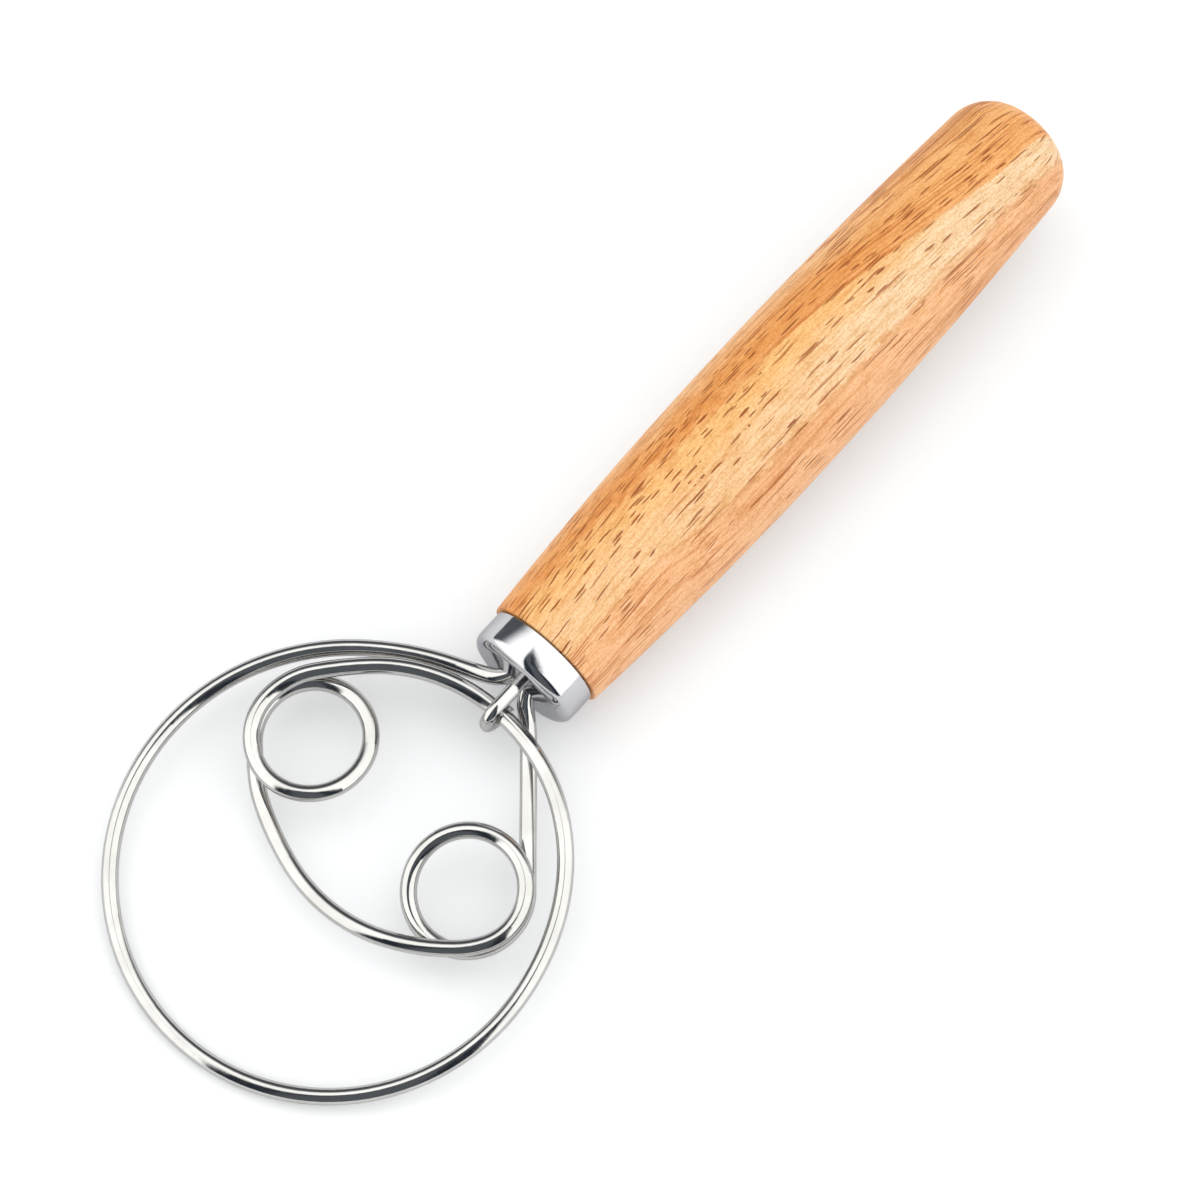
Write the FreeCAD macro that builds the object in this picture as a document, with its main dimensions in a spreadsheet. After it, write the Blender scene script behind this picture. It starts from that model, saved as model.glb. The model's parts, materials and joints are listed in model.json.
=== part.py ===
import math
import os

import FreeCAD
import Part
import Sketcher

Vector = FreeCAD.Vector

# Driving dimensions, in millimetres and degrees.
# The handle lies along X with its butt at zero. The whisk head is drawn in a plane of its own, which
# starts where the hook holds the ring: "reach" runs from there to the far end, "side" runs across.
SIZES = {
    # Turned handle
    "handle_length": 131.3,
    "shoulder_step": 0.7,
    "shoulder_rounding": 0.25,
    "belly_station": 71.7,
    "belly_swell": 2.38,
    "butt_fall": 2.3,
    "butt_rounding": 8.6,
    "bore_depth": 36,
    "bore_clearance": 1.3,
    # Drawn steel cap on the handle's tenon
    "ferrule_diameter": 21.7,
    "ferrule_reach": 7.15,
    "ferrule_wall": 0.6,
    "ferrule_rounding": 2,
    "rim_rounding": 0.25,
    "rim_gap": 0.15,
    "tenon_clearance": 0.1,
    "hole_clearance": 0.15,
    "resin_clearance": 0.05,
    # Wires and the gaps between them
    "wire_diameter": 3,
    "hook_wire_diameter": 2.5,
    "tang_depth": 30,
    "tang_gap": 0.45,
    "tang_roll_angle": 15,
    "hook_gap": 0.25,
    "crossing_gap": 0.5,
    "root_setback": 2.6,
    # Retaining hook
    "hook_reach": 5.75,
    "hook_end_length": 1.5,
    "hook_turn_angle": 200,
    # Whisk head
    "head_droop_angle": 4.5,
    "ring_radius": 39.25,
    "ring_side": 2.4,
    "ring_start_angle": 243,
    "ring_end_angle": 95,
    "ring_return_reach": 7.7,
    "ring_return_side": 22.25,
    "ring_return_angle": 231,
    "neck_reach": 4.25,
    "neck_side": 10.7,
    "neck_angle": 69,
    "neck_dip": 0.65,
    "ring_rise_angle": 3,
    "inner_run_reach": 8.4,
    "inner_run_side": 21.5,
    "inner_run_angle": 48,
    "curl_radius": 10.3,
    "first_curl_reach": 24.6,
    "first_curl_side": 21.3,
    "first_curl_leave_angle": 45,
    "second_curl_reach": 27.05,
    "second_curl_side": 17.4,
    "bow_start_reach": 38.9,
    "bow_start_side": 20.2,
    "bow_start_angle": 61,
    "bow_far_reach": 45,
    "bow_far_side": 0.5,
    "bow_end_reach": 36,
    "bow_end_side": 22.95,
    "bow_end_angle": 131,
    "tail_crossing_reach": 0.2,
    "tail_crossing_side": 7.2,
    "tail_crossing_drop": 3.75,
}

# Depth of the drill point in the bore's floor, as a share of the bore's radius.
DRILL_POINT_SHARE = 0.6
# How far below the axis the two whisk tangs lie, as a share of the hook tang's height over them.
TANG_DROP_SHARE = 1 / 3
# Rise of the inner run and of the bow at their middle points, as shares of the whole rise, and the
# slope there as shares of the mean slope.
INNER_RUN_SHARES = (0.97, 0.6)
BOW_SHARES = ((0.04, 0.75), (0.53, 1.9), (0.99, 0.25))
# A curl stays on top this far, in degrees, past the angle at which its end leaves beneath it.
CURL_TOP_MARGIN = 65
# A curl lies beneath its own start from this far, in degrees, before a full turn.
CURL_UNDER_ANGLE = 95
CURL_FALL_STEPS = 3
RING_STEPS = 4
# Spacing of the points at which the wire's gap to itself is measured, and the length along the wire
# within which two points count as neighbours, as shares of the wire's diameter.
GAP_SPACING_SHARE = 1 / 4
GAP_NEIGHBOUR_SHARE = 3
FULL_TURN = 360
QUARTER_TURN = 90
# Directions closer than this, in radians, count as one straight run.
STRAIGHT_ANGLE = 1e-6

doc = FreeCAD.newDocument("dough_whisk")
sheet = doc.addObject("Spreadsheet::Sheet", "Sizes")
for row, (alias, value) in enumerate(SIZES.items(), start=1):
    sheet.set(f"A{row}", alias)
    sheet.set(f"B{row}", str(value))
    sheet.setAlias(f"B{row}", alias)
doc.recompute()


def size(alias):
    """Value of one driving dimension."""
    return float(sheet.get(alias))


# Sizes that follow from the driving ones, as expressions on the sheet
WIRE_RADIUS = "Sizes.wire_diameter / 2"
HOOK_WIRE_RADIUS = "Sizes.hook_wire_diameter / 2"
FACE_STATION = "Sizes.handle_length + Sizes.ferrule_reach"
FERRULE_RADIUS = "Sizes.ferrule_diameter / 2"
FERRULE_INSIDE = f"{FERRULE_RADIUS} - Sizes.ferrule_wall"
INSIDE_ROUNDING = "Sizes.ferrule_rounding - Sizes.ferrule_wall"
SHOULDER_RADIUS = f"{FERRULE_RADIUS} + Sizes.shoulder_step"
BELLY_RADIUS = f"{SHOULDER_RADIUS} + Sizes.belly_swell"
BUTT_RADIUS = f"{BELLY_RADIUS} - Sizes.butt_fall"
TENON_RADIUS = f"{FERRULE_INSIDE} - Sizes.tenon_clearance"
TENON_END = f"{FACE_STATION} - Sizes.ferrule_wall - Sizes.tenon_clearance"
TANG_SIDE = "(Sizes.wire_diameter + Sizes.tang_gap) / 2"
HOOK_TANG_SPACING = f"({WIRE_RADIUS} + {HOOK_WIRE_RADIUS} + Sizes.tang_gap)"
HOOK_TANG_RISE = f"sqrt({HOOK_TANG_SPACING} ^ 2 - ({TANG_SIDE}) ^ 2)"
TANG_DROP = f"{HOOK_TANG_RISE} * {TANG_DROP_SHARE}"
BORE_RADIUS = f"sqrt(({TANG_SIDE}) ^ 2 + ({TANG_DROP}) ^ 2) + {WIRE_RADIUS} + Sizes.bore_clearance"
BORE_FLOOR = f"{TENON_END} - Sizes.bore_depth"
BORE_POINT = f"{BORE_FLOOR} - ({BORE_RADIUS}) * {DRILL_POINT_SHARE}"


def value_of(expression):
    """Number that an expression on the sheet comes to."""
    return float(sheet.evalExpression(expression))


def revolved_body(name, outline, arc_centre=None):
    """Body turned round X from a closed outline of (x, radius) expressions.

    A zero is written as "0". arc_centre tells which sides of the outline are arcs: a dict from the side's
    number to the expression for its centre's station.
    """
    body = doc.addObject("PartDesign::Body", name)
    sketch = body.newObject("Sketcher::SketchObject", f"{name}_outline")
    plane = next(part for part in body.Origin.OriginFeatures if part.Role == "XY_Plane")
    sketch.AttachmentSupport = [(plane, "")]
    sketch.MapMode = "FlatFace"

    corners = [Vector(value_of(x), value_of(radius), 0) for x, radius in outline]
    count = len(corners)
    horizontal_axis, vertical_axis, axis_origin = -1, -2, 1
    start_point, end_point, centre_point = 1, 2, 3
    arcs = arc_centre or {}
    for side, start in enumerate(corners):
        end = corners[(side + 1) % count]
        if side in arcs:
            sketch.addGeometry(barrel_arc(start, end, value_of(arcs[side])), False)
        else:
            sketch.addGeometry(Part.LineSegment(start, end), False)
    # An arc drawn against the outline's direction has its ends the other way round.
    first_end = [end_point if side in arcs else start_point for side in range(count)]
    last_end = [start_point if side in arcs else end_point for side in range(count)]
    for side in range(count):
        following = (side + 1) % count
        sketch.addConstraint(
            Sketcher.Constraint("Coincident", side, last_end[side], following, first_end[following]))
    for side, (x, radius) in enumerate(outline):
        along = ("DistanceX", x, vertical_axis)
        outward = ("DistanceY", radius, horizontal_axis)
        for kind, expression, axis in (along, outward):
            if expression == "0":
                sketch.addConstraint(Sketcher.Constraint("PointOnObject", side, first_end[side], axis))
                continue
            length = Sketcher.Constraint(
                kind, horizontal_axis, axis_origin, side, first_end[side], value_of(expression))
            sketch.setExpression(f"Constraints[{sketch.addConstraint(length)}]", expression)
    for side, station in arcs.items():
        centre = Sketcher.Constraint(
            "DistanceX", horizontal_axis, axis_origin, side, centre_point, value_of(station))
        sketch.setExpression(f"Constraints[{sketch.addConstraint(centre)}]", station)

    revolution = body.newObject("PartDesign::Revolution", f"{name}_turned")
    revolution.Profile = sketch
    revolution.ReferenceAxis = (sketch, ["H_Axis"])
    revolution.Angle = FULL_TURN
    doc.recompute()
    return body


def barrel_arc(start, end, centre_station):
    """Arc of the outline from start to end whose centre lies on the given station."""
    run_start = start.x - centre_station
    run_end = end.x - centre_station
    centre_radius = (end.y ** 2 - start.y ** 2 + run_end ** 2 - run_start ** 2) / (2 * (end.y - start.y))
    centre = Vector(centre_station, centre_radius, 0)
    circle = Part.Circle(centre, Vector(0, 0, 1), (start - centre).Length)
    return Part.ArcOfCircle(circle, circle.parameter(end), circle.parameter(start))


def round_edge(body, name, station, radius, rounding):
    """Round the circular edge that lies at one station and radius; all three are expressions."""
    base = body.Tip
    x = value_of(station)
    r = value_of(radius)
    boxes = [edge.BoundBox for edge in base.Shape.Edges]
    misses = [abs(box.XMin - x) + abs(box.XMax - x) + abs(box.YMax - r) for box in boxes]
    fillet = body.newObject("PartDesign::Fillet", name)
    fillet.Base = (base, [f"Edge{misses.index(min(misses)) + 1}"])
    fillet.setExpression("Radius", rounding)
    doc.recompute()


def make_handle():
    """Turned handle: rounded butt, barrel of two arcs that meet at the belly, tenon and blind bore."""
    outline = [
        ("0", "0"),
        ("0", BUTT_RADIUS),
        ("Sizes.belly_station", BELLY_RADIUS),
        ("Sizes.handle_length", SHOULDER_RADIUS),
        ("Sizes.handle_length", TENON_RADIUS),
        (TENON_END, TENON_RADIUS),
        (TENON_END, BORE_RADIUS),
        (BORE_FLOOR, BORE_RADIUS),
        (BORE_POINT, "0"),
    ]
    rear_arc, front_arc = 1, 2
    arc_centre = {rear_arc: "Sizes.belly_station", front_arc: "Sizes.belly_station"}
    body = revolved_body("handle", outline, arc_centre)
    round_edge(body, "butt_round", "0", BUTT_RADIUS, "Sizes.butt_rounding")
    round_edge(body, "shoulder_round", "Sizes.handle_length", SHOULDER_RADIUS, "Sizes.shoulder_rounding")
    round_edge(body, "tenon_round", TENON_END, TENON_RADIUS, INSIDE_ROUNDING)
    return body


def make_cap():
    """Drawn cup of even wall, closed at its end face."""
    rim = "Sizes.handle_length + Sizes.rim_gap"
    inside_face = f"{FACE_STATION} - Sizes.ferrule_wall"
    outline = [
        (rim, FERRULE_INSIDE),
        (rim, FERRULE_RADIUS),
        (FACE_STATION, FERRULE_RADIUS),
        (FACE_STATION, "0"),
        (inside_face, "0"),
        (inside_face, FERRULE_INSIDE),
    ]
    body = revolved_body("ferrule_cap", outline)
    round_edge(body, "face_round", FACE_STATION, FERRULE_RADIUS, "Sizes.ferrule_rounding")
    round_edge(body, "inside_round", inside_face, FERRULE_INSIDE, INSIDE_ROUNDING)
    round_edge(body, "rim_round", rim, FERRULE_RADIUS, "Sizes.rim_rounding")
    return body


# Frame of the whisk head: it starts at the ring wire under the hook and droops from the handle's axis.
FACE = value_of(FACE_STATION)
WIRE_R = value_of(WIRE_RADIUS)
HOOK_R = value_of(HOOK_WIRE_RADIUS)
TANG_Z = -value_of(TANG_DROP)
HOOK_Z = value_of(f"{HOOK_TANG_RISE} - {TANG_DROP}")
HOOK_BEND = WIRE_R + HOOK_R + size("hook_gap")
TANG_ROLL = FreeCAD.Rotation(Vector(1, 0, 0), -size("tang_roll_angle"))
HOOK_TANG = TANG_ROLL.multVec(Vector(0, 0, HOOK_Z))
DROOP = math.radians(size("head_droop_angle"))
HEAD_START = Vector(FACE + size("hook_reach"), 0, HOOK_TANG.z - HOOK_BEND)
HEAD_ALONG = Vector(math.cos(DROOP), 0, -math.sin(DROOP))
HEAD_ACROSS = Vector(0, 1, 0)
HEAD_UP = HEAD_ALONG.cross(HEAD_ACROSS)
# Two passes of the wire that cross lie this far apart; a curl's passes lie half of it above and below
# the ring.
LAYER = size("wire_diameter") + size("crossing_gap")
LIFT = LAYER / 2


def tang_point(station, side, height):
    """Point of a wire end in the bore, where the three ends lie together, rolled about the axis."""
    return Vector(station, 0, 0) + TANG_ROLL.multVec(Vector(0, side, height))


def head_point(reach, side, height=0):
    """Point of the whisk head in the handle's frame."""
    return HEAD_START + HEAD_ALONG * reach + HEAD_ACROSS * side + HEAD_UP * height


def head_direction(angle, slope=0):
    """Unit direction in the head's plane, turned by an angle from the far end and rising by a slope."""
    turn = math.radians(angle)
    direction = HEAD_ALONG * math.cos(turn) + HEAD_ACROSS * math.sin(turn) + HEAD_UP * slope
    return direction.normalize()


def circle_node(centre, radius, angle, height=0, slope=0):
    """Point and direction on a circle of the head that the wire follows counter-clockwise."""
    turn = math.radians(angle)
    reach, side = centre
    point = head_point(reach + radius * math.cos(turn), side + radius * math.sin(turn), height)
    return point, head_direction(angle + QUARTER_TURN, slope)


def curl_nodes(centre, start_angle, leave_angle):
    """One turn and a bit: level on top at first, falling one layer, and level beneath where it leaves."""
    radius = size("curl_radius")
    fall_start = leave_angle + CURL_TOP_MARGIN
    fall = FULL_TURN - CURL_UNDER_ANGLE - fall_start
    fall_length = math.radians(fall) * radius
    nodes = [circle_node(centre, radius, start_angle, LIFT)]
    for step in range(CURL_FALL_STEPS + 1):
        done = step / CURL_FALL_STEPS
        height = LIFT * math.cos(math.pi * done)
        slope = -LIFT * math.pi * math.sin(math.pi * done) / fall_length
        nodes.append(circle_node(centre, radius, start_angle + fall_start + fall * done, height, slope))
    for angle in (0, leave_angle):
        nodes.append(circle_node(centre, radius, start_angle + FULL_TURN + angle, -LIFT))
    return nodes


def tangent_angle(centre, radius, point):
    """Angle on a circle, past its top, where a counter-clockwise path leaves straight for a point."""
    run = point[0] - centre[0]
    rise = point[1] - centre[1]
    toward = math.degrees(math.atan2(rise, run)) % FULL_TURN
    return toward - math.degrees(math.acos(radius / math.hypot(run, rise)))


def neck_path():
    """From the handle's bore to the bend where the neck turns along the ring."""
    side = -value_of(TANG_SIDE)
    outward = Vector(1, 0, 0)
    neck = head_point(size("neck_reach") - size("hook_reach"), -size("neck_side"), -size("neck_dip"))
    return [
        (tang_point(FACE - size("tang_depth"), side, TANG_Z), outward),
        (tang_point(FACE - size("root_setback"), side, TANG_Z), outward),
        (neck, head_direction(-size("neck_angle"))),
    ]


def ring_path():
    """The ring, from the neck round the far end to the hook."""
    centre = (size("ring_radius"), -size("ring_side"))
    start = size("ring_start_angle")
    sweep = size("ring_end_angle") + FULL_TURN - start
    nodes = [circle_node(centre, size("ring_radius"), start + sweep * step / RING_STEPS)
             for step in range(RING_STEPS + 1)]
    returning = head_point(size("ring_return_reach"), size("ring_return_side"))
    nodes.append((returning, head_direction(size("ring_return_angle"))))
    slope = math.tan(math.radians(size("ring_rise_angle")))
    nodes.append((head_point(0, 0), head_direction(-QUARTER_TURN, slope)))
    return nodes


def inner_run_path(first_entry):
    """The run from the hook to the first curl, rising to the top of the curl."""
    rise, slope = INNER_RUN_SHARES
    length = (first_entry - head_point(0, 0)).Length
    point = head_point(size("inner_run_reach"), -size("inner_run_side"), rise * LIFT)
    return [(point, head_direction(-size("inner_run_angle"), slope * LIFT / length))]


def bow_path(first_exit, second_entry):
    """The bow between the curls, rising from beneath the first to the top of the second."""
    points = [
        (size("bow_start_reach"), -size("bow_start_side"), size("bow_start_angle")),
        (size("bow_far_reach"), size("bow_far_side"), QUARTER_TURN),
        (size("bow_end_reach"), size("bow_end_side"), size("bow_end_angle")),
    ]
    length = (second_entry - first_exit).Length
    nodes = []
    for (reach, side, angle), (rise, slope) in zip(points, BOW_SHARES):
        point = head_point(reach, side, (2 * rise - 1) * LIFT)
        nodes.append((point, head_direction(angle, slope * LAYER / length)))
    return nodes


def tail_path():
    """From beneath the ring back into the handle's bore."""
    side = value_of(TANG_SIDE)
    inward = Vector(-1, 0, 0)
    return [
        (tang_point(FACE - size("root_setback"), side, TANG_Z), inward),
        (tang_point(FACE - size("tang_depth"), side, TANG_Z), inward),
    ]


def whisk_nodes():
    """Every point of the whisk wire with the wire's direction there, from one tang to the other."""
    first_centre = (size("first_curl_reach"), -size("first_curl_side"))
    second_centre = (size("second_curl_reach"), size("second_curl_side"))
    crossing = (size("tail_crossing_reach"), size("tail_crossing_side"))
    leave = tangent_angle(second_centre, size("curl_radius"), crossing)
    first_curl = curl_nodes(first_centre, -QUARTER_TURN, size("first_curl_leave_angle"))
    second_curl = curl_nodes(second_centre, QUARTER_TURN, leave - QUARTER_TURN)
    inner_run = inner_run_path(first_curl[0][0])
    bow = bow_path(first_curl[-1][0], second_curl[0][0])
    under_ring = (head_point(*crossing, -size("tail_crossing_drop")), head_direction(leave + QUARTER_TURN))
    head = ring_path() + inner_run + first_curl + bow + second_curl
    return neck_path() + head + [under_ring] + tail_path()


def arc_edge(start, direction, end):
    """Edge from start to end that leaves along a direction: a line, or one arc."""
    along = (end - start).normalize()
    half_turn = direction.getAngle(along)
    if half_turn < STRAIGHT_ANGLE:
        return Part.LineSegment(start, end).toShape()
    bisector = (direction + along).normalize()
    middle = start + bisector * ((end - start).Length / 2 / math.cos(half_turn / 2))
    return Part.Arc(start, middle, end).toShape()


def biarc_edges(first, last):
    """The two tangent arcs, or the straight run, that join two points with given directions."""
    start, leaving = first
    end, arriving = last
    span = end - start
    if leaving.getAngle(span) < STRAIGHT_ANGLE and arriving.getAngle(span) < STRAIGHT_ANGLE:
        return [Part.LineSegment(start, end).toShape()]
    both = leaving + arriving
    bend = 2 * (1 - leaving.dot(arriving))
    pull = span.dot(both)
    if bend < STRAIGHT_ANGLE:
        reach = span.dot(span) / (2 * pull)
    else:
        reach = (math.sqrt(pull ** 2 + bend * span.dot(span)) - pull) / bend
    joint = (start + end + (leaving - arriving) * reach) / 2
    first_arc = arc_edge(start, leaving, joint)
    last_arc = arc_edge(end, -arriving, joint)
    last_arc.reverse()
    return [first_arc, last_arc]


def path_edges(nodes):
    """Edges of a tangent path through all nodes."""
    edges = []
    for first, last in zip(nodes, nodes[1:]):
        edges.extend(biarc_edges(first, last))
    return edges


def make_path(name, edges):
    """Path along which a wire is swept."""
    path = doc.addObject("Part::Feature", name)
    path.Shape = Part.Wire(edges)
    return path


def swept_wire(name, path, radius, start):
    """Round wire of a radius, given as an expression, along a path that starts at a node."""
    point, direction = start
    section = doc.addObject("Part::Circle", f"{name}_section")
    section.setExpression("Radius", radius)
    section.Placement = FreeCAD.Placement(point, FreeCAD.Rotation(Vector(0, 0, 1), direction))
    wire = doc.addObject("Part::Sweep", name)
    wire.Sections = [section]
    wire.Spine = (path, [f"Edge{number}" for number in range(1, len(path.Shape.Edges) + 1)])
    wire.Solid = True
    wire.Frenet = False
    return wire


def hook_edges():
    """Straight shank over the ring wire, a round bend about it, and a short straight end."""
    centre = HEAD_START + Vector(0, HOOK_TANG.y, 0)
    over = centre + Vector(0, 0, HOOK_BEND)
    turn = math.radians(size("hook_turn_angle"))
    half = turn / 2
    middle = centre + Vector(math.sin(half), 0, math.cos(half)) * HOOK_BEND
    bend_end = centre + Vector(math.sin(turn), 0, math.cos(turn)) * HOOK_BEND
    end = bend_end + Vector(math.cos(turn), 0, -math.sin(turn)) * size("hook_end_length")
    start = tang_point(FACE - size("tang_depth"), 0, HOOK_Z)
    shank = Part.LineSegment(start, over).toShape()
    bend = Part.Arc(over, middle, bend_end).toShape()
    tip = Part.LineSegment(bend_end, end).toShape()
    return [shank, bend, tip]


def make_wires():
    """The whisk wire, the hook, and the room that the three roots need in the cap and the resin."""
    nodes = whisk_nodes()
    neck = nodes[:len(neck_path())]
    tail = nodes[-len(tail_path()) - 1:]
    reversed_tail = [(point, -direction) for point, direction in reversed(tail)]
    hook = hook_edges()
    hook_start = (hook[0].Vertexes[0].Point, Vector(1, 0, 0))
    wire_path = make_path("whisk_path", path_edges(nodes))
    hook_path = make_path("hook_path", hook)
    whisk = swept_wire("whisk_wire", wire_path, WIRE_RADIUS, nodes[0])
    retaining = swept_wire("retaining_hook", hook_path, HOOK_WIRE_RADIUS, hook_start)

    clear = " + Sizes.hole_clearance"
    room = [
        swept_wire("neck_room", make_path("neck_root", path_edges(neck)), WIRE_RADIUS + clear, neck[0]),
        swept_wire("tail_room", make_path("tail_root", path_edges(reversed_tail)), WIRE_RADIUS + clear,
                   reversed_tail[0]),
        swept_wire("hook_room", make_path("hook_root", hook[:1]), HOOK_WIRE_RADIUS + clear, hook_start),
    ]
    doc.recompute()
    return whisk, retaining, room


def cut_by(name, base, tools):
    """Base with each tool taken out of it in turn; the last cut carries the name."""
    for number, tool in enumerate(tools, start=1):
        cut = doc.addObject("Part::Cut", name if number == len(tools) else f"{name}_cut_{number}")
        cut.Base = base
        cut.Tool = tool
        base = cut
    doc.recompute()
    return base


def make_resin(room):
    """Resin that fills the bore round the wire ends, up to the inside of the cap."""
    plug = doc.addObject("Part::Cylinder", "resin_plug")
    plug.setExpression("Radius", f"{BORE_RADIUS} - Sizes.resin_clearance")
    plug.setExpression("Height", "Sizes.bore_depth")
    plug.Placement = FreeCAD.Placement(
        Vector(value_of(BORE_FLOOR), 0, 0), FreeCAD.Rotation(Vector(0, 0, 1), Vector(1, 0, 0)))
    doc.recompute()
    return cut_by("bonding_resin", plug, room)


def rest_placement(parts):
    """Place of the whole part as it lies on a table, on its belly and on the ring's far end.

    The table is the common tangent of two circles below the axis: the arc of the barrel ahead of the belly,
    and the wire at the ring's far end. The origin is under the middle of the part.
    """
    run = size("handle_length") - size("belly_station")
    belly_radius = value_of(BELLY_RADIUS)
    drop = size("belly_swell")
    barrel_radius = (run ** 2 + drop ** 2) / (2 * drop)
    far_wire = head_point(2 * size("ring_radius"), 0)
    across = far_wire.x - size("belly_station")
    below = far_wire.z - (barrel_radius - belly_radius)
    tilt = math.atan2(below, across) + math.asin((barrel_radius - WIRE_R) / math.hypot(across, below))
    rotation = FreeCAD.Rotation(Vector(0, 1, 0), math.degrees(tilt))
    box = FreeCAD.BoundBox()
    for part in parts:
        shape = part.Shape.copy()
        shape.Placement = FreeCAD.Placement(Vector(0, 0, 0), rotation)
        box.add(shape.optimalBoundingBox(False))
    middle = Vector(box.Center.x, box.Center.y, box.ZMin)
    return FreeCAD.Placement(-middle, rotation)


def path_points(path, spacing):
    """Points along a path with their distances from its start."""
    points = []
    travelled = 0
    for edge in path.Shape.OrderedEdges:
        steps = max(1, math.ceil(edge.Length / spacing))
        found = edge.discretize(steps + 1)
        if points and (found[-1] - points[-1][1]).Length < (found[0] - points[-1][1]).Length:
            found.reverse()
        for step, point in enumerate(found[:-1]):
            points.append((travelled + edge.Length * step / steps, point))
        travelled += edge.Length
    return points


def least_self_gap(path):
    """Smallest gap between stretches of the whisk wire that aren't neighbours along it."""
    diameter = size("wire_diameter")
    points = path_points(path, diameter * GAP_SPACING_SHARE)
    neighbour = diameter * GAP_NEIGHBOUR_SHARE
    nearest = min(
        (here - there).Length
        for number, (start, here) in enumerate(points)
        for end, there in points[number + 1:]
        if end - start > neighbour)
    return nearest - diameter


def report_wires(whisk, retaining):
    """Print how true the swept wires are: volume against section times length, tightest bend, least gap."""
    for wire, radius in ((whisk, WIRE_R), (retaining, HOOK_R)):
        path = wire.Spine[0]
        expected = math.pi * radius ** 2 * path.Shape.Length
        share = wire.Shape.Volume / expected
        bends = [edge.Curve.Radius for edge in path.Shape.Edges if hasattr(edge.Curve, "Radius")]
        print(f"{wire.Label}: length {path.Shape.Length:.1f}, volume share {share:.5f}, "
              f"tightest bend {min(bends):.2f}")
    print(f"least gap of the whisk wire to itself {least_self_gap(whisk.Spine[0]):.2f}")


def check_document(parts):
    """Stop if any object failed or any sub-part isn't one sound solid."""
    for item in doc.Objects:
        if "Invalid" in item.State or "Error" in item.State:
            raise RuntimeError(f"{item.Name} failed: {item.State}")
    for part in parts:
        shape = part.Shape
        if shape.isNull() or not shape.isValid() or len(shape.Solids) != 1:
            raise RuntimeError(f"{part.Label} isn't one valid solid")


def main():
    handle = make_handle()
    whisk, retaining, room = make_wires()
    ferrule = cut_by("ferrule", make_cap(), room)
    resin = make_resin(room)
    parts = [handle, ferrule, whisk, retaining, resin]
    check_document(parts)
    report_wires(whisk, retaining)
    place = rest_placement(parts)
    for part in parts:
        part.Placement = place
    doc.recompute()
    check_document(parts)
    os.makedirs("parts", exist_ok=True)
    for part in parts:
        part.Shape.exportStep(os.path.join("parts", f"{part.Label}.step"))
        print(f"{part.Label}: volume {part.Shape.Volume:.1f}")


main()
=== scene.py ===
import json
import math
from collections import namedtuple

import bpy
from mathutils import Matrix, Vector

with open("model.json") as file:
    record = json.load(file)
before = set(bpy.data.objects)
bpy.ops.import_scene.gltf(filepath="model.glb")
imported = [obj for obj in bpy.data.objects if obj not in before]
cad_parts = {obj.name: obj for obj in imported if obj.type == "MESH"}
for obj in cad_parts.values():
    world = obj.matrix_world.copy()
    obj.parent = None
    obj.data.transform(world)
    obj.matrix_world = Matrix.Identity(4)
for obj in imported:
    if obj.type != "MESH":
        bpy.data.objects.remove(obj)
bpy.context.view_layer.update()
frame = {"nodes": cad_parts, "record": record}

MILLIMETRE = 0.001

# Camera: where it stands as seen from the whisk, the spot on the table it looks at, and its lens
CAMERA_AZIMUTH = math.radians(131.598)
CAMERA_ELEVATION = math.radians(70.5)
CAMERA_DISTANCE = 0.800
CAMERA_TARGET = Vector((0.0025, -0.00004, 0))
CAMERA_LENS = 135.23
SENSOR_WIDTH = 36
NEAREST_SEEN = 0.01

# Handle: where its butt is and how far its nose dips, as the mount on its butt says
BUTT_MOUNT = next(mount for mount in frame["record"]["mounts"] if mount["name"] == "butt_face")
HANDLE_BUTT = BUTT_MOUNT["pos_m"]
HANDLE_DIP = math.asin(BUTT_MOUNT["axis"][2])
# Its mean radius, in millimetres, as are all lengths in the beech and on the cap
HANDLE_RADIUS = 13.0

# A noise in the wood: length and width of its cells, its detail and roughness, and a shift that sets it apart
Pattern = namedtuple("Pattern", "along across detail roughness shift", defaults=(2.0, 0.5, 0.0))
# Marks in the wood: length and width of the cells that hold one each, and a shift
Marks = namedtuple("Marks", "along across shift")
# Lines along a growth boundary: how far apart they are, and a shift
Lines = namedtuple("Lines", "spacing shift")
# Place along the handle, height above its axis, how ragged the upper growth boundary is there, and the
# distance from each boundary, as it sways and as it would run straight
Layers = namedtuple("Layers", "x z ragged upper straight_upper lower straight_lower")
# Tones of a steel, its least and most roughness, and the height of its ripple in millimetres
Steel = namedtuple("Steel", "bright dull roughness ripple")


# Building blocks of materials and light

def add_node(tree, kind, **settings):
    """New node with its settings."""
    node = tree.nodes.new(kind)
    for name, value in settings.items():
        setattr(node, name, value)
    return node


def feed(tree, socket, source):
    """Link a socket to another one, or give it a plain value."""
    if isinstance(source, bpy.types.NodeSocket):
        tree.links.new(source, socket)
    else:
        socket.default_value = source


def calculate(tree, operation, *sources):
    """Result of a Math node."""
    node = add_node(tree, "ShaderNodeMath", operation=operation)
    for socket, source in zip(node.inputs, sources):
        feed(tree, socket, source)
    return node.outputs["Value"]


def product(tree, first, *others):
    """Values multiplied together."""
    for other in others:
        first = calculate(tree, "MULTIPLY", first, other)
    return first


def hypotenuse(tree, first, second):
    """Long side of a right triangle."""
    squares = calculate(tree, "MULTIPLY_ADD", first, first, product(tree, second, second))
    return calculate(tree, "SQRT", squares)


def past(tree, value, start):
    """How far a value is past a start, or nought before it."""
    return calculate(tree, "MAXIMUM", calculate(tree, "SUBTRACT", value, start), 0.0)


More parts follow.
